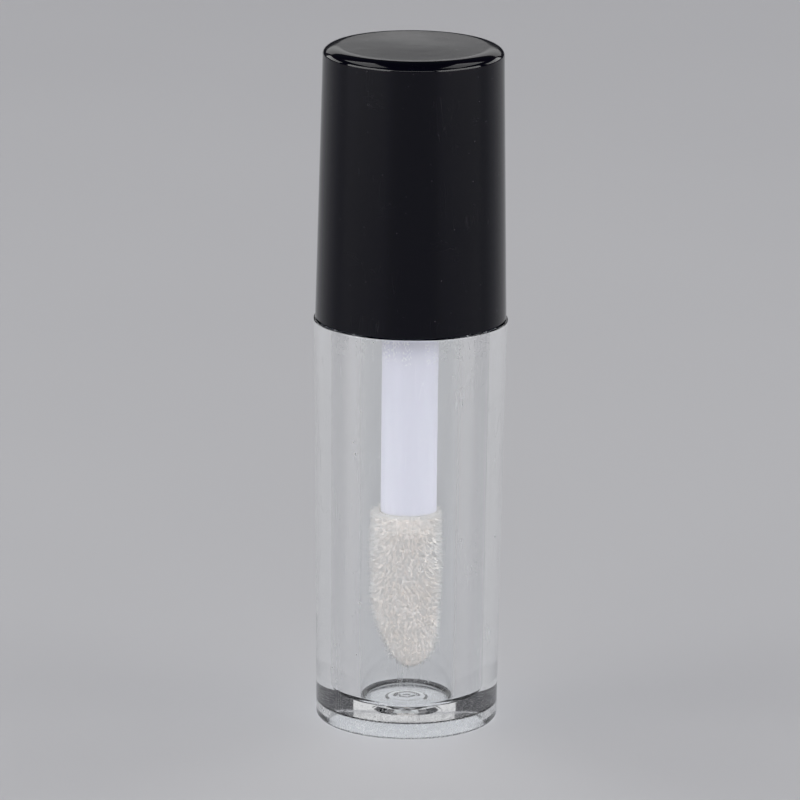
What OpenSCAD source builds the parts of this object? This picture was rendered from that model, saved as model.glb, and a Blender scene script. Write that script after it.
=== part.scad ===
// Mini lip gloss tube: a thick-walled clear bottle with a threaded neck and a wiper,
// and a screw cap that carries a wand with a flocked doe-foot applicator.
// Millimetres. +Z is up the tube's axis, and the origin is the middle of the base.

/* [Overall] */
// Height of the closed tube, base to cap top
total_h = 48; // [46:0.5:52]
// Height of the bottle's shoulder, which the cap sits on
shoulder_z = 28.8; // [28:0.1:30]
// Gap between the shoulder and the cap's rim
rim_gap = 0.05; // [0.05:0.05:0.3]

/* [Bottle] */
// Outer diameter at the base
base_d = 12.72; // [12.2:0.02:13.2]
// Outer diameter at the shoulder
shoulder_d = 13.5; // [13.4:0.02:14]
// Diameter that the flare adds at the shoulder
flare_d = 0.15; // [0:0.01:0.3]
// Height at which the flare starts
flare_z = 21; // [16:0.5:25]
// Rounding of the base's outer edge
edge_r = 0.3; // [0.1:0.05:0.4]
// Rounding of the shoulder's outer edge
shoulder_edge_r = 0.1; // [0.05:0.05:0.3]
// Bore diameter at its floor
bore_low_d = 6.6; // [6.4:0.1:6.8]
// Bore diameter at the shoulder
bore_high_d = 6.9; // [6.8:0.02:6.94]
// Height of the bore's floor
floor_z = 1.75; // [1.6:0.05:3]
// Rounding where the bore meets its floor
floor_r = 0.5; // [0.2:0.05:1]
// Diameter of the recess under the base
recess_d = 10.4; // [9:0.1:11]
// Depth of the recess under the base
recess_h = 1.05; // [0.4:0.05:1.1]
// Diameter of the gate dimple in the recess
dimple_d = 3; // [1:0.1:4]
// Depth of the gate dimple
dimple_h = 0.2; // [0.1:0.05:0.3]

/* [Neck and thread] */
// Height of the neck above the shoulder
neck_h = 8.5; // [8.4:0.1:9]
// Neck diameter at the root of its thread
neck_d = 8.7; // [8.6:0.02:8.8]
// Diameter over the neck's thread
neck_crest_d = 9.9; // [9.6:0.02:10]
// Number of thread starts
starts = 2; // [1:1:2]
// Rise of the cap in one full turn
lead = 4; // [3.8:0.1:4.4]
// Turns of each thread on the neck
neck_turns = 0.9; // [0.7:0.05:1]
// Turns of each thread in the cap
cap_turns = 0.6; // [0.5:0.05:0.7]

/* [Wiper] */
// Diameter of the seat in the neck, which grips the wiper
seat_d = 7; // [6.96:0.02:7.1]
// Diameter of the wiper's flange
flange_d = 8.4; // [8:0.1:8.6]
// Thickness of the wiper's flange
flange_h = 0.6; // [0.5:0.05:0.7]
// Length of the wiper below its flange
wiper_h = 6; // [5:0.1:6.5]
// Inner diameter of the wiper's sleeve
sleeve_bore_d = 5.9; // [5.7:0.1:6]
// Radial clearance of the wiper's lip round the stem
lip_fit = 0.05; // [0.02:0.01:0.1]

/* [Cap] */
// Outer diameter at the cap's rim
cap_rim_d = 13.28; // [13.1:0.02:13.36]
// Outer diameter at the cap's top, before its edge is rounded
cap_top_d = 12.48; // [12.4:0.02:13]
// Height of the cap's rounded top edge
cap_edge_h = 0.6; // [0.3:0.05:0.8]
// Width of the cap's rounded top edge
cap_edge_w = 1.1; // [0.3:0.05:1.5]
// Thickness of the cap's top
cap_top_t = 1.2; // [0.9:0.1:1.6]
// Inner diameter of the cap's shell, which grips the liner
shell_bore_d = 11.4; // [11.2:0.05:11.5]
// Inner diameter of the liner's skirt at the root of its thread
liner_bore_d = 10.4; // [10.3:0.05:10.5]
// Diameter inside the liner's thread
liner_crest_d = 9; // [8.96:0.02:9.2]
// Number of ribs that stop the liner from turning in the shell
rib_count = 6; // [4:1:8]

/* [Wand] */
// Diameter of the stem
stem_d = 3.92; // [3.8:0.02:4]
// Radial clearance of the stem in the liner, and of the tip's spigot in the stem
stem_fit = 0.02; // [0.01:0.01:0.04]
// Height at which the stem ends and the flocked tip starts
tip_top_z = 15.3; // [14:0.1:17]
// Height of the flocked tip's lowest point
tip_low_z = 3.5; // [3.2:0.05:5]
// Widest half-width of the flocked tip
tip_half_w = 2.57; // [2.4:0.01:2.6]
// Sideways offset of the tip's upper part
tip_side_x = -0.18; // [-0.2:0.01:0.2]
// Sideways offset of the tip's lowest point
tip_end_x = 0.28; // [-0.3:0.01:0.3]
// Thickness of the flock
flock_t = 0.5; // [0.3:0.05:0.6]

/* [Hidden] */
$fn = 96;

// Levels of the neck and the wiper
neck_top_z = shoulder_z + neck_h;
flange_top_z = neck_top_z + flange_h;
wiper_low_z = neck_top_z - wiper_h;
seat_low_z = wiper_low_z - 0.4;
lip_r = stem_d / 2 + lip_fit;

// Levels of the cap: the liner's seal face lies just above the wiper's flange
cap_rim_z = shoulder_z + rim_gap;
ceiling_z = total_h - cap_top_t;
liner_low_z = cap_rim_z + 0.5;
seal_z = flange_top_z + 0.02;
web_top_z = seal_z + 1.2;
socket_top_z = web_top_z + 4.8;
stem_top_z = socket_top_z - 0.6;

// Liner's socket for the stem, and the ribs between liner and shell
socket_r = 3.1;
rib_t = 0.7;
rib_top_z = web_top_z + 2.6;
rib_overlap = 1.6;

// Thread ridges: a trapezoid, which grows from nothing over its run-out
ridge_root_w = 1.05;
ridge_crest_w = 0.45;
ridge_bite = 0.2;
ridge_steps = 32;
ridge_runout = 60;
pitch = lead / starts;
neck_thread_z = shoulder_z + 1.9;
cap_thread_z = neck_thread_z + 0.62 * pitch;

// Spigot that holds the tip in the stem
spigot_r = 1.1;
spigot_h = 4.5;

// Tip: rings at these shares of its length, from its top (0) to its lowest point (1)
tip_rings = [0, 0.14, 0.3, 0.45, 0.57, 0.65, 0.72, 0.79, 0.85, 0.9, 0.94, 0.97, 0.99];
tip_sides = 24;
tip_end_y = 0.95;
tip_top_r = stem_d / 2 + 0.33;
tip_round = 5.2;
tip_square = 2.3;
slant_from = 0.1;

// Points of an arc, in degrees
function arc(cx, cy, r, from, to, n = 6) =
    [for (i = [0 : n]) let (a = from + (to - from) * i / n) [cx + r * cos(a), cy + r * sin(a)]];

// Smooth step from 0 to 1
function ease(u) = let (c = min(1, max(0, u))) c * c * (3 - 2 * c);

// Bottle's outer radius at height z: a straight draft, and a flare below the shoulder
function draft_r(z) = base_d / 2 + (shoulder_d - flare_d - base_d) / 2 * z / shoulder_z;
function flare_r(z) = z < flare_z ? 0 : flare_d / 2 * pow((z - flare_z) / (shoulder_z - flare_z), 2);
function bottle_r(z) = draft_r(z) + flare_r(z);

// Bore's radius at height z
function bore_r(z) =
    bore_low_d / 2 + (bore_high_d - bore_low_d) / 2 * (z - floor_z) / (shoulder_z - floor_z);

// Cap's outer radius at height z
function cap_r(z) =
    cap_rim_d / 2 + (cap_top_d - cap_rim_d) / 2 * (z - cap_rim_z) / (total_h - cap_rim_z);

// Faces with their points in the opposite order
function flipped(faces) = [for (f = faces) [for (k = [len(f) - 1 : -1 : 0]) f[k]]];

// Side faces of a stack of rings, and the fan that closes its last ring on a pole
function ring_faces(first, rings) =
    [for (i = [0 : rings - 2], k = [0 : tip_sides - 1])
        let (m = (k + 1) % tip_sides, p = first + i * tip_sides)
        each [[p + k, p + m, p + tip_sides + m], [p + k, p + tip_sides + m, p + tip_sides + k]]];
function pole_faces(first, pole) =
    [for (k = [0 : tip_sides - 1]) [first + k, first + (k + 1) % tip_sides, pole]];
function stack_faces(first, rings) =
    concat(ring_faces(first, rings), pole_faces(first + (rings - 1) * tip_sides, first + rings * tip_sides));

// Ring of the tip at share t of its length, shrunk by inset on all sides. The back is straight
// and the front slants towards it, so that the tip ends in a rounded paddle.
function tip_ring(t, inset) =
    let (s = sqrt(max(0, 1 - pow(t, tip_round))),
         shrink = inset * min(1, 0.2 + s),
         slant = max(0, t - slant_from) / (1 - slant_from),
         z = tip_top_z - t * (tip_top_z - tip_low_z) + inset * pow(t, 3),
         x = tip_side_x + (tip_end_x - tip_side_x) * ease((t - 0.6) / 0.3),
         back = tip_end_y + (tip_top_r - tip_end_y) * s - shrink,
         front = -tip_top_r + (tip_end_y + tip_top_r) * slant + inset * (1 - 0.6 * pow(t, 6)),
         a = max(0.05, (tip_top_r + (tip_half_w - tip_top_r) * min(1, 1.8 * t)) * s - shrink),
         b = max(0.05, (back - front) / 2),
         e = 2 / (2 + (tip_square - 2) * min(1, 4 * t)))
    [for (k = [0 : tip_sides - 1]) let (c = cos(360 * k / tip_sides), d = sin(360 * k / tip_sides))
        [x + a * sign(c) * pow(abs(c), e), (back + front) / 2 + b * sign(d) * pow(abs(d), e), z]];

// All the points of the tip's surface, shrunk by inset
function tip_points(inset) =
    concat([for (t = tip_rings) each tip_ring(t, inset)], [[tip_end_x, tip_end_y, tip_low_z + inset]]);

// One helical ridge on a wall of radius r_wall. It points out where r_crest is larger.
module ridge(r_wall, r_crest, turns, z0) {
    n = round(turns * ridge_steps);
    out = r_crest > r_wall;
    root = out ? r_wall - ridge_bite : r_wall + ridge_bite;
    grown = function (i) min(1, 0.05 + min(i, n - i) * 360 / ridge_steps / ridge_runout);
    section = function (i) let (crest = root + (r_crest - root) * grown(i))
        [[root, -ridge_root_w / 2], [crest, -ridge_crest_w / 2],
         [crest, ridge_crest_w / 2], [root, ridge_root_w / 2]];
    points = [for (i = [0 : n], p = section(i)) let (a = 360 * i / ridge_steps)
        [p[0] * cos(a), p[0] * sin(a), z0 + lead * i / ridge_steps + p[1]]];
    sides = [for (i = [0 : n - 1], k = [0 : 3]) let (m = (k + 1) % 4, p = 4 * i)
        each [[p + k, p + m, p + 4 + m], [p + k, p + 4 + m, p + 4 + k]]];
    faces = concat(sides, [[3, 2, 1, 0], [4 * n, 4 * n + 1, 4 * n + 2, 4 * n + 3]]);
    polyhedron(points, out ? faces : flipped(faces), convexity = 6);
}

module thread(r_wall, r_crest, turns, z0) {
    for (k = [0 : starts - 1])
        rotate(360 * k / starts)
            ridge(r_wall, r_crest, turns, z0);
}

module bottle() {
    outer_wall = concat(
        arc(bottle_r(0) - edge_r, edge_r, edge_r, -90, 0),
        [for (z = [4 : 4 : flare_z]) [bottle_r(z), z]],
        [for (z = [flare_z + 1.5 : 1.5 : shoulder_z - 1.5]) [bottle_r(z), z]],
        arc(shoulder_d / 2 - shoulder_edge_r, shoulder_z - shoulder_edge_r, shoulder_edge_r, 0, 90));
    neck = [
        [neck_d / 2, shoulder_z],
        [neck_d / 2, neck_top_z - 0.2],
        [neck_d / 2 - 0.2, neck_top_z],
        [seat_d / 2, neck_top_z],
        [seat_d / 2, seat_low_z],
        [bore_r(shoulder_z), shoulder_z]];
    well = arc(bore_r(floor_z + floor_r) - floor_r, floor_z + floor_r, floor_r, 0, -90);
    under = [
        [0, floor_z],
        [0, recess_h + dimple_h],
        [dimple_d / 2 - dimple_h, recess_h + dimple_h],
        [dimple_d / 2, recess_h],
        [recess_d / 2 - 0.25, recess_h],
        [recess_d / 2, recess_h - 0.25],
        [recess_d / 2 + 0.1, 0]];
    color([0.92, 0.94, 0.96, 0.35])
    union() {
        rotate_extrude() polygon(concat(outer_wall, neck, well, under));
        thread(neck_d / 2, neck_crest_d / 2, neck_turns, neck_thread_z);
    }
}

module wiper() {
    outer_r = seat_d / 2;
    inner_r = sleeve_bore_d / 2;
    lip_t = 0.45;
    lip_h = 0.35;
    funnel_h = 2;
    color([0.95, 0.95, 0.93, 0.8])
    rotate_extrude() polygon([
        [lip_r, wiper_low_z],
        [lip_r + lip_t, wiper_low_z],
        [outer_r, wiper_low_z + funnel_h],
        [outer_r, neck_top_z],
        [flange_d / 2, neck_top_z],
        [flange_d / 2, flange_top_z - 0.15],
        [flange_d / 2 - 0.15, flange_top_z],
        [inner_r + 0.4, flange_top_z],
        [inner_r, flange_top_z - 0.4],
        [inner_r, wiper_low_z + funnel_h],
        [lip_r, wiper_low_z + lip_h]]);
}

module cap_shell() {
    bore = shell_bore_d / 2;
    edge_x = cap_r(total_h - cap_edge_h) - cap_edge_w;
    edge_z = total_h - cap_edge_h;
    rim_chamfer = 0.06;
    rib_in = socket_r + 0.5;
    rib_out = bore + 0.25;
    color([0.03, 0.03, 0.04])
    union() {
        rotate_extrude() polygon(concat(
            [[bore + 0.2, cap_rim_z],
             [cap_r(cap_rim_z) - rim_chamfer, cap_rim_z],
             [cap_r(cap_rim_z + rim_chamfer), cap_rim_z + rim_chamfer]],
            [for (a = [0 : 10 : 90]) [edge_x + cap_edge_w * cos(a), edge_z + cap_edge_h * sin(a)]],
            [[0, total_h],
             [0, ceiling_z],
             [bore - 0.5, ceiling_z],
             [bore - 0.25, ceiling_z - 0.3],
             [bore, web_top_z + 0.5],
             [bore, cap_rim_z + 0.2]]));
        // Ribs that hang from the ceiling, between the liner's ribs
        for (k = [0 : rib_count - 1])
            rotate(360 * (k + 0.5) / rib_count)
                translate([rib_in, -rib_t / 2, rib_top_z - rib_overlap])
                    cube([rib_out - rib_in, rib_t, ceiling_z + 0.1 - rib_top_z + rib_overlap]);
    }
}

module cap_liner() {
    outer_r = shell_bore_d / 2;
    thread_r = liner_bore_d / 2;
    stem_r = stem_d / 2 + stem_fit;
    color([0.1, 0.1, 0.11])
    union() {
        rotate_extrude() polygon([
            [thread_r + 0.2, liner_low_z],
            [outer_r - 0.1, liner_low_z],
            [outer_r, liner_low_z + 0.1],
            [outer_r, web_top_z],
            [socket_r, web_top_z],
            [socket_r, socket_top_z - 0.2],
            [socket_r - 0.2, socket_top_z],
            [0, socket_top_z],
            [0, stem_top_z + stem_fit],
            [stem_r, stem_top_z + stem_fit],
            [stem_r, seal_z],
            [thread_r - 0.4, seal_z],
            [thread_r, seal_z - 0.4],
            [thread_r, liner_low_z + 0.2]]);
        thread(thread_r, liner_crest_d / 2, cap_turns, cap_thread_z);
        for (k = [0 : rib_count - 1])
            rotate(360 * k / rib_count)
                translate([socket_r - 0.2, -rib_t / 2, web_top_z - 0.1])
                    cube([outer_r - 0.2 - socket_r, rib_t, rib_top_z - web_top_z + 0.1]);
    }
}

module wand_stem() {
    bore = spigot_r + stem_fit;
    low_z = tip_top_z + stem_fit;
    color([0.93, 0.93, 0.95])
    rotate_extrude() polygon([
        [bore, low_z],
        [stem_d / 2, low_z],
        [stem_d / 2, stem_top_z - 0.3],
        [stem_d / 2 - 0.3, stem_top_z],
        [0, stem_top_z],
        [0, tip_top_z + spigot_h + stem_fit],
        [bore, tip_top_z + spigot_h + stem_fit]]);
}

module doe_foot_core() {
    rings = len(tip_rings);
    top = [for (k = [0 : tip_sides - 1]) tip_sides - 1 - k];
    color([0.9, 0.9, 0.88])
    union() {
        polyhedron(tip_points(flock_t), concat([top], stack_faces(0, rings)), convexity = 4);
        translate([0, 0, tip_top_z - 0.1])
            cylinder(r = spigot_r, h = spigot_h + 0.1);
    }
}

module flock_coat() {
    rings = len(tip_rings);
    first = rings * tip_sides + 1;
    rim = [for (k = [0 : tip_sides - 1]) let (m = (k + 1) % tip_sides)
        each [[k, first + k, first + m], [k, first + m, m]]];
    faces = concat(stack_faces(0, rings), flipped(stack_faces(first, rings)), rim);
    color([0.95, 0.93, 0.88])
    polyhedron(concat(tip_points(0), tip_points(flock_t)), faces, convexity = 6);
}

bottle();
wiper();
cap_shell();
cap_liner();
wand_stem();
doe_foot_core();
flock_coat();
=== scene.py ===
"""Looks of the lip gloss tube: a clear thick-walled bottle, a gloss black cap, a white wand and a
flocked doe-foot tip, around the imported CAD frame. Shapes are worked out in millimetres and built in
metres. The camera looks along +Y and down."""

import math

import bmesh
import bpy
import numpy as np
from mathutils import Matrix, Vector
from mathutils.kdtree import KDTree


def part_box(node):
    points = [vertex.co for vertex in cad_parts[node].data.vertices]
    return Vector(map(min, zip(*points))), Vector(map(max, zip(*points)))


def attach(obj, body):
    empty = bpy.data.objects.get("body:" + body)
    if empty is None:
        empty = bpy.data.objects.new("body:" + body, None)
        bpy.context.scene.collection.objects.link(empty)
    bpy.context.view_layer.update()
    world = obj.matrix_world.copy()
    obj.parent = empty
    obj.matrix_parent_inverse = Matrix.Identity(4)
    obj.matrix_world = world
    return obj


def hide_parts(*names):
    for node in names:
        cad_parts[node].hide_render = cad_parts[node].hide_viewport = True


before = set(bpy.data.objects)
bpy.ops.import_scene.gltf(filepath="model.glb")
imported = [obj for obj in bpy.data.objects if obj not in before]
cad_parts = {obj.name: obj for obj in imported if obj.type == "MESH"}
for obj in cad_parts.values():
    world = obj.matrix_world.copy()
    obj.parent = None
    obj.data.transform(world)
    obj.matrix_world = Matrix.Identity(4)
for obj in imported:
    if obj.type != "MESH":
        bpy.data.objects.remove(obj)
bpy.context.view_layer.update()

MM = 0.001
SEGMENTS = 288
rng = np.random.default_rng(7)


# ---------------------------------------------------------------- sizes, from the CAD frame


def corners(node):
    """Lowest and highest corner of a CAD node, in millimetres."""
    low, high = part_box(node)
    return low / MM, high / MM


bottle_high = corners("bottle")[1]
wiper_low, wiper_high = corners("wiper")
shell_low, shell_high = corners("cap_shell")
liner_low, liner_high = corners("cap_liner")
stem_low, stem_high = corners("wand_stem")
flock_low, flock_high = corners("flock_coat")

# Bottle
RIM_GAP = 0.05
SHOULDER_R = bottle_high.x
SHOULDER_Z = shell_low.z - RIM_GAP
BASE_R = 6.36
FLARE = 0.075
FLARE_Z = 21.0
EDGE_R = 0.3
SHOULDER_EDGE_R = 0.1
FLOOR_Z = 1.75
FLOOR_R = 0.5
BORE_LOW_R = 3.3
BORE_HIGH_R = 3.45
RECESS_R = 5.2
RECESS_H = 1.05
DIMPLE_R = 1.5
DIMPLE_H = 0.2

# Neck and thread
NECK_TOP_Z = bottle_high.z
NECK_R = 4.35
NECK_CREST_R = 4.95
NECK_EDGE = 0.2
SEAT_R = 3.5
SEAT_LOW_Z = wiper_low.z - 0.4
STARTS = 2
LEAD = 4.0
NECK_TURNS = 0.9
LINER_TURNS = 0.6
NECK_THREAD_Z = SHOULDER_Z + 1.9
LINER_THREAD_Z = NECK_THREAD_Z + 0.62 * LEAD / STARTS
RIDGE_ROOT_W = 1.05
RIDGE_CREST_W = 0.45
RIDGE_BITE = 0.2
RUNOUT = math.radians(60)

# Cap
TOP_Z = shell_high.z
CAP_RIM_R = 6.64
CAP_TOP_R = 6.24
RIM_CHAMFER = 0.06
CAP_EDGE_H = 0.6
CAP_EDGE_W = 1.1
CAP_TOP_T = 1.2
CEILING_Z = TOP_Z - CAP_TOP_T
SHELL_BORE_R = liner_high.x
LINER_THREAD_R = 5.2
LINER_CREST_R = 4.5
FIT = 0.02
SEAL_Z = wiper_high.z + FIT
WEB_Z = SEAL_Z + 1.2
SOCKET_R = 3.1
RIB_COUNT = 6
RIB_T = 0.7
RIB_TOP_Z = WEB_Z + 2.6

# Wand
STEM_R = stem_high.x
STEM_TOP_Z = stem_high.z
SPIGOT_HOLE_R = 1.12
SPIGOT_HOLE_H = 4.52
TIP_TOP_Z = flock_high.z
TIP_LOW_Z = flock_low.z
TIP_HALF_W = 2.57
TIP_TOP_R = STEM_R + 0.33
TIP_SIDE_X = -0.18
TIP_END_X = 0.28
TIP_END_Y = 0.95
FLOCK_T = 0.5

# Flock: how far the bed and the fibres' roots lie inside the tip's outline, and the fibres
BED_INSET = 0.06
ROOT_INSET = 0.1
FIBRE_R = 0.034
FIBRE_LENGTHS = (0.15, 0.4)
TUFT_LENGTHS = (0.3, 0.5)
GATHERED = (0.3, 0.9)


# ---------------------------------------------------------------- mesh building


def arc(x, z, radius, start, end, steps=8):
    """Points of an arc in the radius-height plane, from one angle to another in degrees."""
    angles = np.radians(np.linspace(start, end, steps + 1))
    return [(x + radius * math.cos(a), z + radius * math.sin(a)) for a in angles]


def held(profile, reach=0.06):
    """The profile with a point just inside each end of its long straights, so that smooth shading
    keeps its corners tight."""
    made = [profile[0]]
    for (r0, z0), (r1, z1) in zip(profile, profile[1:]):
        length = math.hypot(r1 - r0, z1 - z0)
        if length > 4 * reach:
            for share in (reach / length, 1 - reach / length):
                made.append((r0 + (r1 - r0) * share, z0 + (z1 - z0) * share))
        made.append((r1, z1))
    return made


def turned(profile, segments=SEGMENTS):
    """One ring of points for each profile point, or a single point on the axis."""
    angles = np.arange(segments) * 2 * math.pi / segments
    rings = []
    for radius, z in profile:
        if radius < 1e-6:
            rings.append(np.array([[0.0, 0.0, z]]))
        else:
            x, y = radius * np.cos(angles), radius * np.sin(angles)
            rings.append(np.stack([x, y, np.full(segments, z)], axis=1))
    return rings


def thread_rise(angles, z, first_z, turns, depth):
    """How far a two-start thread stands out of its wall at height z, at each angle."""
    rise = np.zeros(len(angles))
    end = turns * 2 * math.pi
    for start in range(STARTS):
        for lap in (0, 1):
            along = (angles - start * 2 * math.pi / STARTS) % (2 * math.pi) + lap * 2 * math.pi
            across = np.abs(z - first_z - LEAD * along / (2 * math.pi))
            flank = (RIDGE_ROOT_W / 2 - across) / ((RIDGE_ROOT_W - RIDGE_CREST_W) / 2)
            grown = np.clip(0.05 + np.minimum(along, end - along) / RUNOUT, 0, 1)
            ridge = np.clip(flank, 0, 1) * (depth * grown + RIDGE_BITE) - RIDGE_BITE
            rise = np.maximum(rise, np.where(along <= end, ridge, 0))
    return rise


def threaded(radius, crest, low_z, high_z, first_z, turns, step=0.07):
    """Rings of a wall with a thread on it, from low_z to high_z."""
    angles = np.arange(SEGMENTS) * 2 * math.pi / SEGMENTS
    out = 1 if crest > radius else -1
    rings = []
    for z in np.linspace(low_z, high_z, max(2, round(abs(high_z - low_z) / step))):
        r = radius + out * thread_rise(angles, z, first_z, turns, abs(crest - radius))
        rings.append(np.stack([r * np.cos(angles), r * np.sin(angles), np.full(SEGMENTS, z)], axis=1))
    return rings


def stack_faces(rings, loop=False):
    """Faces between each ring and the next, and from the last to the first on a loop."""
    starts = np.cumsum([0] + [len(r) for r in rings])
    pairs = [(i, i + 1) for i in range(len(rings) - 1)] + ([(len(rings) - 1, 0)] if loop else [])
    faces = []
    for i, j in pairs:
        a, b = int(starts[i]), int(starts[j])
        count = max(len(rings[i]), len(rings[j]))
        for k in range(count if count > 1 else 0):
            m = (k + 1) % count
            if len(rings[i]) == 1:
                faces.append((a, b + m, b + k))
            elif len(rings[j]) == 1:
                faces.append((a + k, a + m, b))
            else:
                faces.append((a + k, a + m, b + m, b + k))
    return faces


def piece(name, points, faces, body, sharp=32):
    """A closed mesh from points in millimetres, which rides on a body."""
    mesh = bpy.data.meshes.new(name)
    mesh.from_pydata([tuple(p) for p in np.asarray(points) * MM], [], faces)
    made = bmesh.new()
    made.from_mesh(mesh)
    bmesh.ops.recalc_face_normals(made, faces=made.faces)
    made.to_mesh(mesh)
    made.free()
    mesh.shade_smooth()
    if sharp:
        mesh.set_sharp_from_angle(angle=math.radians(sharp))
    obj = bpy.data.objects.new(name, mesh)
    bpy.context.scene.collection.objects.link(obj)
    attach(obj, body)
    return obj


def lofted(name, rings, body, loop=False, extra=(), sharp=32):
    """A piece from rings of points, with extra closed shapes of (points, faces) beside them."""
    points, faces = np.concatenate(rings), stack_faces(rings, loop)
    for more_points, more_faces in extra:
        faces = faces + [tuple(i + len(points) for i in f) for f in more_faces]
        points = np.concatenate([points, more_points])
    return piece(name, points, faces, body, sharp)


def block(low, high, turn):
    """A closed box between two corners, turned about the axis by an angle in radians."""
    (x0, y0, z0), (x1, y1, z1) = low, high
    points = np.array([(x, y, z) for z in (z0, z1) for x, y in ((x0, y0), (x1, y0), (x1, y1), (x0, y1))])
    c, s = math.cos(turn), math.sin(turn)
    points[:, :2] = points[:, :2] @ np.array([[c, s], [-s, c]])
    sides = [(k, (k + 1) % 4, (k + 1) % 4 + 4, k + 4) for k in range(4)]
    return points, [(3, 2, 1, 0), (4, 5, 6, 7)] + sides


# ---------------------------------------------------------------- material building

EVEN_SPREAD = (1.0, 0.95, 0.9)


class Look:
    """A Principled material, with short ways to add the nodes that drive it."""

    def __init__(self, name, **values):
        self.material = bpy.data.materials.new(name)
        self.material.use_nodes = True
        self.tree = self.material.node_tree
        self.shader = self.tree.nodes["Principled BSDF"]
        for socket, value in values.items():
            self.shader.inputs[socket.replace("_", " ")].default_value = value
        self.where = self.node("ShaderNodeTexCoord").outputs["Object"]

    def node(self, kind, inputs=None, **settings):
        made = self.tree.nodes.new(kind)
        for key, value in settings.items():
            setattr(made, key, value)
        for key, value in (inputs or {}).items():
            if isinstance(value, bpy.types.NodeSocket):
                self.tree.links.new(value, made.inputs[key])
            else:
                made.inputs[key].default_value = value
        return made

    def placed(self, scale, turn=(0, 0, 0)):
        """Object coordinates scaled to features per metre along each axis."""
        inputs = {"Vector": self.where, "Scale": scale, "Rotation": turn}
        return self.node("ShaderNodeMapping", inputs).outputs["Vector"]

    def noise(self, scale, detail=2.0, turn=(0, 0, 0)):
        """Noise from 0 to 1. Scale is in features per millimetre, one number or one for each axis."""
        scale = np.broadcast_to(np.asarray(scale, float), 3) / MM
        inputs = {"Vector": self.placed(tuple(scale), turn), "Scale": 1.0, "Detail": detail}
        return self.node("ShaderNodeTexNoise", inputs).outputs["Fac"]

    def maths(self, operation, a, b=0.0, c=0.0):
        made = self.node("ShaderNodeMath", {0: a, 1: b, 2: c}, operation=operation)
        return made.outputs["Value"]

    def ramp(self, value, low, high, to_low=0.0, to_high=1.0):
        """A smooth step from to_low to to_high as the value goes from low to high."""
        inputs = {"Value": value, "From Min": low, "From Max": high, "To Min": to_low, "To Max": to_high}
        made = self.node("ShaderNodeMapRange", inputs, interpolation_type="SMOOTHSTEP")
        return made.outputs["Result"]

    def height(self):
        """Height above the base, in millimetres."""
        z = self.node("ShaderNodeSeparateXYZ", {"Vector": self.where}).outputs["Z"]
        return self.maths("MULTIPLY", z, 1 / MM)

    def distance(self):
        """Distance from the axis, in millimetres."""
        flat = self.node("ShaderNodeVectorMath", {0: self.where, 1: (1, 1, 0)}, operation="MULTIPLY")
        length = self.node("ShaderNodeVectorMath", {0: flat.outputs["Vector"]}, operation="LENGTH")
        return self.maths("MULTIPLY", length.outputs["Value"], 1 / MM)

    def scratches(self, scale, turn, width, cover):
        """Thin sparse lines: where a stretched noise crosses its middle, in the patches that another
        noise leaves."""
        lines = self.maths("ABSOLUTE", self.maths("SUBTRACT", self.noise(scale, 1.0, turn), 0.5))
        line = self.ramp(lines, 0.0, width, 1.0, 0.0)
        patch = self.ramp(self.noise(0.35, 1.0, turn), cover, cover + 0.06)
        return self.maths("MULTIPLY", line, patch)

    def colours(self, value, *stops):
        """Colour along a ramp of (place, colour) stops."""
        made = self.node("ShaderNodeValToRGB", {"Fac": value})
        elements = made.color_ramp.elements
        while len(elements) < len(stops):
            elements.new(0.5)
        for element, (place, colour) in zip(elements, stops):
            element.position, element.color = place, (*colour, 1.0)
        return made.outputs["Color"]

    def let_lamps_through(self, tint):
        """Light from lamps goes straight through the surface, dimmed a little, so that it reaches
        what is inside."""
        shadow = self.node("ShaderNodeLightPath").outputs["Is Shadow Ray"]
        clear = self.node("ShaderNodeBsdfTransparent", {"Color": tint}).outputs["BSDF"]
        inputs = {0: shadow, 1: self.shader.outputs["BSDF"], 2: clear}
        mixed = self.node("ShaderNodeMixShader", inputs).outputs["Shader"]
        self.tree.links.new(mixed, self.tree.nodes["Material Output"].inputs["Surface"])

    def feed(self, socket, value):
        self.tree.links.new(value, self.shader.inputs[socket])

    def bump(self, height, strength, distance_mm):
        inputs = {"Height": height, "Strength": strength, "Distance": distance_mm * MM}
        self.feed("Normal", self.node("ShaderNodeBump", inputs).outputs["Normal"])


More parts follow.
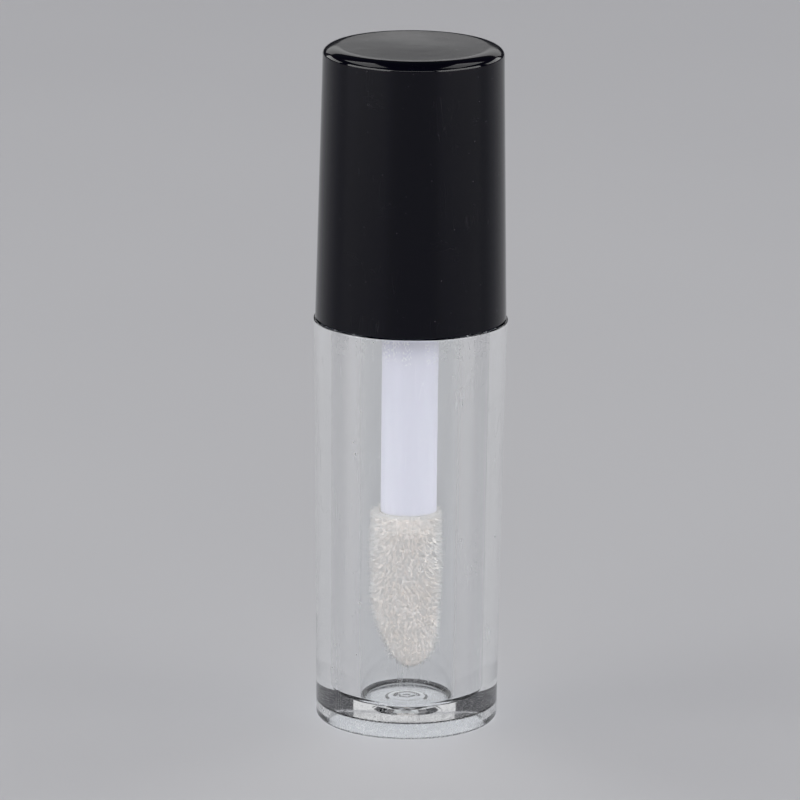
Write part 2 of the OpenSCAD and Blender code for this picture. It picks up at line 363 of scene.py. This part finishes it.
def clear_san():
    """Clear polished plastic: faint flow waves, handling scratches, and a frosted band where the
    wiper's seat starts."""
    look = Look("clear_san", Base_Color=(0.97, 0.98, 0.985, 1), IOR=1.57, Transmission_Weight=1.0)
    long_lines = look.scratches((1.2, 1.2, 0.09), (0.1, 0.25, 0), 0.006, 0.56)
    short_lines = look.scratches((2.6, 2.6, 0.5), (0.5, -0.6, 0.3), 0.007, 0.6)
    lines = look.maths("MAXIMUM", long_lines, short_lines)
    grain = look.noise((11.0, 11.0, 8.0), 2.0)
    edge = look.maths("MULTIPLY_ADD", look.noise(1.4, 2.0), 1.6, look.height())
    band = look.ramp(edge, SHOULDER_Z - 1.9, SHOULDER_Z - 1.1)
    inner = look.ramp(look.distance(), SEAT_R + 0.15, SEAT_R + 0.3, 1.0, 0.0)
    drawn = look.ramp(look.noise((2.5, 2.5, 0.15), 2.0), 0.4, 0.6, 0.2, 1.0)
    speckled = look.maths("MULTIPLY", look.ramp(grain, 0.48, 0.62), drawn)
    seat = look.maths("MULTIPLY", look.maths("MULTIPLY", band, inner), speckled)
    ring = look.ramp(look.distance(), RECESS_R + 0.3, RECESS_R + 0.5, 1.0, 0.0)
    low = look.maths("MULTIPLY", look.ramp(look.height(), 1.0, 1.2, 1.0, 0.0), ring)
    foot = look.maths("MULTIPLY", low, look.ramp(grain, 0.5, 0.66, 0.1, 0.9))
    frost = look.maths("MAXIMUM", seat, foot)
    rough = look.maths("MULTIPLY_ADD", lines, 0.3, 0.012)
    look.feed("Roughness", look.maths("MULTIPLY_ADD", frost, 0.45, rough))
    waves = look.maths("MULTIPLY", look.noise((0.25, 0.25, 0.12), 1.0), 0.5)
    cut = look.maths("MULTIPLY_ADD", lines, -0.06, waves)
    look.bump(look.maths("MULTIPLY_ADD", frost, 0.05, cut), 0.25, 0.05)
    look.let_lamps_through((0.87, 0.88, 0.89, 1))
    return look.material


def gloss_black():
    """Polished black plastic: slight orange peel, hairline scratches and a little dust."""
    look = Look("gloss_black", IOR=1.53)
    lines = look.maths(
        "MAXIMUM",
        look.scratches((2.0, 2.0, 0.12), (0.1, 0.15, 0), 0.006, 0.6),
        look.scratches((0.25, 1.6, 2.4), (0.2, 0, 0.3), 0.005, 0.63),
    )
    dust = look.ramp(look.noise(6.0, 0.0), 0.84, 0.88)
    marks = look.maths("MULTIPLY_ADD", lines, 0.35, dust)
    look.feed("Base Color", look.colours(marks, (0.0, (0.011, 0.011, 0.013)), (1.0, (0.06, 0.06, 0.065))))
    haze = look.ramp(look.noise(0.3, 3.0), 0.35, 0.7, 0.08, 0.12)
    look.feed("Roughness", look.maths("MULTIPLY_ADD", marks, 0.25, haze))
    look.bump(look.maths("MULTIPLY_ADD", lines, -0.1, look.noise(0.8, 2.0)), 0.04, 0.03)
    return look.material


def white_pp():
    """White polypropylene rod: a little translucent, with fine lines from moulding along it."""
    spread = {"Subsurface_Weight": 0.35, "Subsurface_Scale": 0.4 * MM, "Subsurface_Radius": (1.0, 0.9, 0.95)}
    look = Look("white_pp", IOR=1.49, **spread)
    flow = look.noise((1.5, 1.5, 0.08), 2.0)
    look.feed("Base Color", look.colours(flow, (0.3, (0.75, 0.74, 0.82)), (0.7, (0.78, 0.77, 0.85))))
    look.feed("Roughness", look.ramp(look.noise(1.2, 3.0), 0.3, 0.7, 0.3, 0.42))
    look.bump(flow, 0.2, 0.02)
    return look.material


def flock_look(name, cream, white):
    """Nylon flock between two tones: soft, a little translucent and without gloss."""
    spread = {"Subsurface_Weight": 0.5, "Subsurface_Scale": 0.12 * MM, "Subsurface_Radius": EVEN_SPREAD}
    look = Look(name, IOR=1.5, Sheen_Weight=0.3, Sheen_Roughness=0.5, **spread)
    look.feed("Base Color", look.colours(look.noise(0.45, 3.0), (0.35, cream), (0.65, white)))
    look.feed("Roughness", look.ramp(look.noise(3.0, 2.0), 0.3, 0.7, 0.8, 0.95))
    look.bump(look.noise(8.0, 3.0), 0.25, 0.04)
    return look.material


def natural_ldpe():
    """Milky natural polyethylene."""
    spread = {"Subsurface_Weight": 0.6, "Subsurface_Scale": 0.5 * MM, "Subsurface_Radius": EVEN_SPREAD}
    look = Look("natural_ldpe", IOR=1.51, Transmission_Weight=0.35, **spread)
    cloud = look.noise(0.8, 3.0)
    look.feed("Base Color", look.colours(cloud, (0.3, (0.84, 0.85, 0.85)), (0.7, (0.9, 0.9, 0.89))))
    look.feed("Roughness", look.ramp(look.noise(2.0, 3.0), 0.3, 0.7, 0.32, 0.5))
    look.bump(cloud, 0.2, 0.03)
    return look.material


def black_pp():
    """Black polypropylene as moulded: satin, with a fine spark-eroded texture."""
    look = Look("black_pp", IOR=1.49)
    grain = look.noise(6.0, 4.0)
    look.feed("Base Color", look.colours(grain, (0.3, (0.018, 0.018, 0.02)), (0.7, (0.03, 0.03, 0.032))))
    look.feed("Roughness", look.ramp(grain, 0.3, 0.7, 0.38, 0.52))
    look.bump(grain, 0.3, 0.03)
    return look.material


def soft_core():
    """Soft matt polyethylene of the doe foot's core."""
    spread = {"Subsurface_Weight": 0.3, "Subsurface_Scale": 0.4 * MM, "Subsurface_Radius": EVEN_SPREAD}
    look = Look("soft_core", IOR=1.5, **spread)
    tone = look.noise(1.0, 3.0)
    look.feed("Base Color", look.colours(tone, (0.3, (0.76, 0.75, 0.72)), (0.7, (0.82, 0.81, 0.78))))
    look.feed("Roughness", look.ramp(tone, 0.3, 0.7, 0.5, 0.62))
    look.bump(look.noise(4.0, 2.0), 0.2, 0.03)
    return look.material


def pale_floor():
    """Plain pale studio surface."""
    look = Look("pale_floor", Roughness=0.6)
    tone = look.noise(0.01, 2.0)
    look.feed("Base Color", look.colours(tone, (0.3, (0.6, 0.6, 0.62)), (0.7, (0.62, 0.62, 0.64))))
    return look.material


# ---------------------------------------------------------------- bottle


def bottle_r(z):
    """Outer radius of the bottle: a straight draft, and a flare below the shoulder."""
    draft = BASE_R + (SHOULDER_R - FLARE - BASE_R) * z / SHOULDER_Z
    return draft + FLARE * (max(0, z - FLARE_Z) / (SHOULDER_Z - FLARE_Z)) ** 2


def bore_r(z):
    return BORE_LOW_R + (BORE_HIGH_R - BORE_LOW_R) * (z - FLOOR_Z) / (SHOULDER_Z - FLOOR_Z)


def gate_mark(rings):
    """A low uneven ring and a nub in the dimple, left where the gate was cut off."""
    for ring in rings:
        away, angle = np.hypot(ring[:, 0], ring[:, 1]), np.arctan2(ring[:, 1], ring[:, 0])
        ridge = 0.62 * (1 + 0.04 * np.sin(2 * angle + 1.0) + 0.03 * np.sin(5 * angle + 2.2))
        ring[:, 2] += 0.13 * np.exp(-(((away - ridge) / 0.17) ** 2))
        ring[:, 2] += 0.08 * np.exp(-((away / 0.22) ** 2))
    return rings


def bottle():
    recess_corner = arc(RECESS_R - 0.14, RECESS_H - 0.14, 0.14, 90, 0)
    dimple = [(r, RECESS_H + DIMPLE_H) for r in np.linspace(0, DIMPLE_R - DIMPLE_H, 26)]
    recess = held([(DIMPLE_R, RECESS_H)] + recess_corner + [(RECESS_R + 0.1, 0.0)])
    wall = [(bottle_r(z), z) for z in np.linspace(EDGE_R, SHOULDER_Z - SHOULDER_EDGE_R, 30)]
    foot = arc(bottle_r(0) - EDGE_R, EDGE_R, EDGE_R, -90, 0)
    top_edge = SHOULDER_EDGE_R
    shoulder = arc(SHOULDER_R - top_edge, SHOULDER_Z - top_edge, top_edge, 0, 90)
    outside = held(foot + wall[1:-1] + shoulder + [(NECK_R, SHOULDER_Z)])
    neck_top = [(NECK_R, NECK_TOP_Z - NECK_EDGE), (NECK_R - NECK_EDGE, NECK_TOP_Z), (SEAT_R, NECK_TOP_Z)]
    seat = [(SEAT_R, SEAT_LOW_Z), (bore_r(SHOULDER_Z), SHOULDER_Z)]
    bore = [(bore_r(z), z) for z in np.linspace(SHOULDER_Z, FLOOR_Z + FLOOR_R, 30)]
    well = arc(bore_r(FLOOR_Z + FLOOR_R) - FLOOR_R, FLOOR_Z + FLOOR_R, FLOOR_R, 0, -90, 10)
    floor = [(r, FLOOR_Z + 0.05 * (1 - r / 2.8)) for r in (2.2, 1.6, 1.5, 0.8, 0.0)]
    inside = held(neck_top + seat) + bore[1:-1] + well + floor
    rings = gate_mark(turned(dimple)) + turned(recess + outside)
    rings += threaded(NECK_R, NECK_CREST_R, SHOULDER_Z + 0.05, NECK_TOP_Z - 0.3, NECK_THREAD_Z, NECK_TURNS)
    rings += turned(inside)
    made = lofted("clear_bottle", rings, "bottle")
    made.data.materials.append(clear_san())
    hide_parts("bottle")


# ---------------------------------------------------------------- cap


def cap_r(z):
    return CAP_RIM_R + (CAP_TOP_R - CAP_RIM_R) * (z - shell_low.z) / (TOP_Z - shell_low.z)


def cap_shell():
    rim = shell_low.z
    edge_x = cap_r(TOP_Z - CAP_EDGE_H) - CAP_EDGE_W
    lip = [
        (SHELL_BORE_R + 0.2, rim),
        (cap_r(rim) - RIM_CHAMFER, rim),
        (cap_r(rim + RIM_CHAMFER), rim + RIM_CHAMFER),
    ]
    edge = [
        (edge_x + CAP_EDGE_W * math.cos(a), TOP_Z - CAP_EDGE_H * (1 - math.sin(a)))
        for a in np.radians(np.linspace(0, 90, 21))
    ]
    top = [(4.0, TOP_Z - 0.004), (2.0, TOP_Z - 0.012), (0.0, TOP_Z - 0.015)]
    ceiling = [(0.0, CEILING_Z), (SHELL_BORE_R - 0.5, CEILING_Z), (SHELL_BORE_R - 0.25, CEILING_Z - 0.3)]
    bore = [(SHELL_BORE_R, WEB_Z + 0.5), (SHELL_BORE_R, rim + 0.2), (SHELL_BORE_R + 0.2, rim)]
    ribs = [
        block(
            (SOCKET_R + 0.5, -RIB_T / 2, RIB_TOP_Z - 1.6),
            (SHELL_BORE_R + 0.25, RIB_T / 2, CEILING_Z + 0.1),
            (k + 0.5) * 2 * math.pi / RIB_COUNT,
        )
        for k in range(RIB_COUNT)
    ]
    profile = held(lip + edge + top[:1]) + top[1:] + held(ceiling + bore)[:-1]
    made = lofted("gloss_cap", turned(profile), "cap", loop=True, extra=ribs)
    made.data.materials.append(gloss_black())
    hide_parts("cap_shell")


def cap_liner():
    low = liner_low.z
    socket_top = liner_high.z
    skirt = [(LINER_THREAD_R + 0.2, low), (SHELL_BORE_R - 0.1, low), (SHELL_BORE_R, low + 0.1)]
    outside = skirt + [(SHELL_BORE_R, WEB_Z), (SOCKET_R, WEB_Z), (SOCKET_R, socket_top - 0.2)]
    outside += [(SOCKET_R - 0.2, socket_top), (0.0, socket_top)]
    hole_r = STEM_R + FIT
    hole = [(0.0, STEM_TOP_Z + FIT), (hole_r, STEM_TOP_Z + FIT), (hole_r, SEAL_Z)]
    seal = hole + [(LINER_THREAD_R - 0.4, SEAL_Z), (LINER_THREAD_R, SEAL_Z - 0.4)]
    ribs = [
        block(
            (SOCKET_R - 0.2, -RIB_T / 2, WEB_Z - 0.1),
            (SHELL_BORE_R - 0.4, RIB_T / 2, RIB_TOP_Z),
            k * 2 * math.pi / RIB_COUNT,
        )
        for k in range(RIB_COUNT)
    ]
    rings = turned(held(outside) + held(seal))
    rings += threaded(LINER_THREAD_R, LINER_CREST_R, SEAL_Z - 0.5, low + 0.3, LINER_THREAD_Z, LINER_TURNS)
    made = lofted("threaded_liner", rings, "cap", loop=True, extra=ribs)
    made.data.materials.append(black_pp())
    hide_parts("cap_liner")


# ---------------------------------------------------------------- wand


def stem():
    hole_top_z = TIP_TOP_Z + SPIGOT_HOLE_H
    top = [(0.0, STEM_TOP_Z), (STEM_R - 0.3, STEM_TOP_Z), (STEM_R, STEM_TOP_Z - 0.3)]
    rod = [(STEM_R, z) for z in np.linspace(STEM_TOP_Z - 0.3, stem_low.z, 12)]
    socket = [(SPIGOT_HOLE_R, stem_low.z), (SPIGOT_HOLE_R, hole_top_z), (0.0, hole_top_z)]
    made = lofted("white_stem", turned(held(top + rod[1:] + socket), 160), "wand")
    made.data.materials.append(white_pp())
    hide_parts("wand_stem")


def ease(u):
    u = min(1.0, max(0.0, u))
    return u * u * (3 - 2 * u)


def tip_ring(t, inset, sides):
    """Ring of the tip's surface at share t of its length from the top, shrunk by inset. The back is
    straight and the front slants towards it."""
    s = math.sqrt(max(0.0, 1 - t**5.2))
    shrink = inset * min(1.0, 0.2 + s)
    slant = max(0.0, t - 0.1) / 0.9
    z = TIP_TOP_Z - t * (TIP_TOP_Z - TIP_LOW_Z) + inset * t**3
    x = TIP_SIDE_X + (TIP_END_X - TIP_SIDE_X) * ease((t - 0.6) / 0.3)
    back = TIP_END_Y + (TIP_TOP_R - TIP_END_Y) * s - shrink
    front = -TIP_TOP_R + (TIP_END_Y + TIP_TOP_R) * slant + inset * (1 - 0.6 * t**6)
    a = max(0.02, (TIP_TOP_R + (TIP_HALF_W - TIP_TOP_R) * min(1.0, 1.8 * t)) * s - shrink)
    b = max(0.02, (back - front) / 2)
    power = 2 / (2 + 0.3 * min(1.0, 4 * t))
    angle = np.arange(sides) * 2 * math.pi / sides
    c, d = np.cos(angle), np.sin(angle)
    xs = x + a * np.sign(c) * np.abs(c) ** power
    ys = (back + front) / 2 + b * np.sign(d) * np.abs(d) ** power
    return np.stack([xs, ys, np.full(sides, z)], axis=1)


def tip_rings(inset, sides, steps=60):
    """Rings from the tip's top to its pole, closer together where it closes."""
    shares = 1 - np.linspace(1, 0, steps + 1)[:-1] ** 1.8
    rings = [tip_ring(t, inset, sides) for t in shares]
    return rings + [np.array([[TIP_END_X, TIP_END_Y, TIP_LOW_Z + inset]])]


def flock_bed():
    """The dense part of the flock: a closed coat round the core, with a fine uneven surface and a
    rounded upper edge."""
    sides = 220
    outer = tip_rings(BED_INSET, sides, 110)
    outer[0] = tip_ring(0.002, 0.3, sides)
    inner = tip_rings(FLOCK_T, sides, 20)
    inner[0][:, 2] -= 0.02
    rings = inner[::-1] + outer
    points = np.concatenate(rings)
    points += rng.normal(0, 0.012, points.shape)
    made = piece("flock_bed", points, stack_faces(rings), "cap", sharp=None)
    made.data.materials.append(flock_look("flock_bed_nylon", (0.83, 0.76, 0.71), (0.86, 0.8, 0.76)))
    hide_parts("flock_coat")


def flock_fibres(count=15000, tufts=2200, rim=1200):
    """Short nylon fibres that stand out of the bed in small tufts, and up round the stem at its rim.
    Each is a closed slim pyramid, shaded like the surface it stands on and without a shadow from
    lamps, as a fine translucent fibre is."""
    rings = tip_rings(ROOT_INSET, 96, 80)
    points, faces = np.concatenate(rings), stack_faces(rings)
    corners_of = np.array([f[:3] for f in faces] + [(f[0], f[2], f[3]) for f in faces if len(f) == 4])
    a, b, c = (points[corners_of[:, i]] for i in range(3))
    normals = np.cross(b - a, c - a)
    areas = np.linalg.norm(normals, axis=1)
    middle = (a + b + c) / 3
    normals /= np.maximum(areas, 1e-12)[:, None]
    normals *= math.copysign(1, np.sum(areas[:, None] * normals * (middle - middle.mean(axis=0))))

    def scatter(number):
        chosen = rng.choice(len(areas), number, p=areas / areas.sum())
        u, v = rng.random((2, number, 1))
        u, v = np.where(u + v > 1, 1 - u, u), np.where(u + v > 1, 1 - v, v)
        return a[chosen] + u * (b - a)[chosen] + v * (c - a)[chosen], normals[chosen]

    roots, out = scatter(count)
    tuft_roots, tuft_out = scatter(tufts)
    tuft_tops = tuft_roots + tuft_out * rng.uniform(*TUFT_LENGTHS, (tufts, 1))
    tuft_tops += rng.normal(0, 0.04, (tufts, 3))
    nearest = KDTree(tufts)
    for i, root in enumerate(tuft_roots):
        nearest.insert(root, i)
    nearest.balance()
    tuft = np.array([nearest.find(root)[1] for root in roots])
    gather = rng.uniform(*GATHERED, (count, 1))
    loose = roots + out * rng.uniform(*FIBRE_LENGTHS, (count, 1)) + rng.normal(0, 0.06, (count, 3))
    ends = loose + (tuft_tops[tuft] - loose) * gather
    ends[:, 2:] += 0.2 * rng.random((count, 1)) * np.clip((roots[:, 2:] - TIP_TOP_Z + 0.5) / 0.5, 0, 1)

    round_axis = rng.uniform(0, 2 * math.pi, rim)
    circle = np.stack([np.cos(round_axis), np.sin(round_axis), np.zeros(rim)], axis=1)
    stem_edge = STEM_R * circle + (0, 0, TIP_TOP_Z)
    flock_edge = TIP_TOP_R * circle + (TIP_SIDE_X, 0, TIP_TOP_Z)
    rim_roots = stem_edge + (flock_edge - stem_edge) * rng.uniform(0.2, 0.8, (rim, 1)) - (0, 0, 0.15)
    rim_ends = stem_edge + (flock_edge - stem_edge) * rng.uniform(0.1, 1.1, (rim, 1))
    rim_ends[:, 2] += rng.uniform(0.0, 0.2, rim)
    roots, ends = np.concatenate([roots, rim_roots]), np.concatenate([ends, rim_ends])
    shading = np.concatenate([out, (circle + (0, 0, 0.4)) / math.hypot(1, 0.4)])
    heading = ends - roots
    side = np.cross(heading, rng.normal(size=heading.shape))
    side /= np.linalg.norm(side, axis=1)[:, None]
    other = np.cross(heading, side)
    other /= np.linalg.norm(other, axis=1)[:, None]
    thirds = [k * 2 * math.pi / 3 for k in range(3)]
    feet = [roots + FIBRE_R * (math.cos(turn) * side + math.sin(turn) * other) for turn in thirds]
    everything = np.stack(feet + [ends], axis=1).reshape(-1, 3)
    one = [(0, 2, 1), (0, 1, 3), (1, 2, 3), (2, 0, 3)]
    all_faces = [tuple(4 * i + k for k in f) for i in range(len(roots)) for f in one]
    made = piece("flock_fibres", everything, all_faces, "cap", sharp=None)
    made.data.normals_split_custom_set_from_vertices(np.repeat(shading, 4, axis=0).tolist())
    made.visible_shadow = False
    made.data.materials.append(flock_look("flock_fibre_nylon", (0.89, 0.84, 0.8), (0.91, 0.88, 0.86)))


def repaint(node, material):
    """Gives a carried-over CAD node its material."""
    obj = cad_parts[node]
    obj.data.materials.clear()
    obj.data.materials.append(material)


# ---------------------------------------------------------------- studio


def floor():
    mesh = bpy.data.meshes.new("floor")
    side = 3.0
    corner_points = [(-side, -side, 0), (side, -side, 0), (side, side, 0), (-side, side, 0)]
    mesh.from_pydata(corner_points, [], [(0, 1, 2, 3)])
    obj = bpy.data.objects.new("floor", mesh)
    bpy.context.scene.collection.objects.link(obj)
    mesh.materials.append(pale_floor())


def softbox(name, place, size, watts, through=False):
    """A rectangular area light that faces the middle of the tube. Through tells whether it is seen
    through clear plastic."""
    data = bpy.data.lights.new(name, "AREA")
    data.shape = "RECTANGLE"
    data.size, data.size_y = size
    data.energy = watts
    obj = bpy.data.objects.new(name, data)
    target = Vector((0, 0, TOP_Z * MM / 2))
    obj.location = place
    obj.rotation_euler = (target - Vector(place)).to_track_quat("-Z", "Y").to_euler()
    obj.visible_camera = False
    obj.visible_transmission = through
    bpy.context.scene.collection.objects.link(obj)


def studio():
    softbox("left", (-0.62, -0.36, 0.22), (0.9, 0.38), 3.7)
    softbox("right", (0.64, -0.34, 0.21), (0.9, 0.38), 3.4)
    softbox("front", (0, -1.0, 0.28), (1.0, 0.3), 1.8)
    softbox("high left", (-0.44, 0.06, 0.7), (0.75, 0.36), 1.5)
    softbox("high right", (0.46, 0.06, 0.68), (0.75, 0.36), 1.4)
    softbox("rear left", (-0.7, 0.5, 0.25), (0.6, 0.3), 1.0)
    softbox("rear right", (0.7, 0.5, 0.25), (0.6, 0.3), 1.0)
    softbox("back", (0.02, 0.9, 0.36), (0.94, 0.26), 0.54, through=True)
    world = bpy.data.worlds.new("studio")
    world.use_nodes = True
    background = world.node_tree.nodes["Background"]
    background.inputs["Color"].default_value = (0.5, 0.5, 0.53, 1)
    background.inputs["Strength"].default_value = 0.2
    bpy.context.scene.world = world
    bpy.context.scene.view_settings.view_transform = "Khronos PBR Neutral"


def camera():
    """The photograph's view: from in front and above, with a long lens and a slight roll."""
    data = bpy.data.cameras.new("camera")
    data.sensor_width = 36.0
    data.lens = 274.6
    data.shift_x = -0.01225
    obj = bpy.data.objects.new("camera", data)
    pitch, roll = math.radians(14.81), 0.0113
    turn = Matrix.Rotation(math.pi / 2 - pitch, 4, "X") @ Matrix.Rotation(roll, 4, "Z")
    obj.matrix_world = Matrix.Translation((0, -0.41093, 0.13149)) @ turn
    bpy.context.scene.collection.objects.link(obj)
    bpy.context.scene.camera = obj


bottle()
repaint("wiper", natural_ldpe())
cap_shell()
cap_liner()
stem()
repaint("doe_foot_core", soft_core())
flock_bed()
flock_fibres()
floor()
studio()
camera()
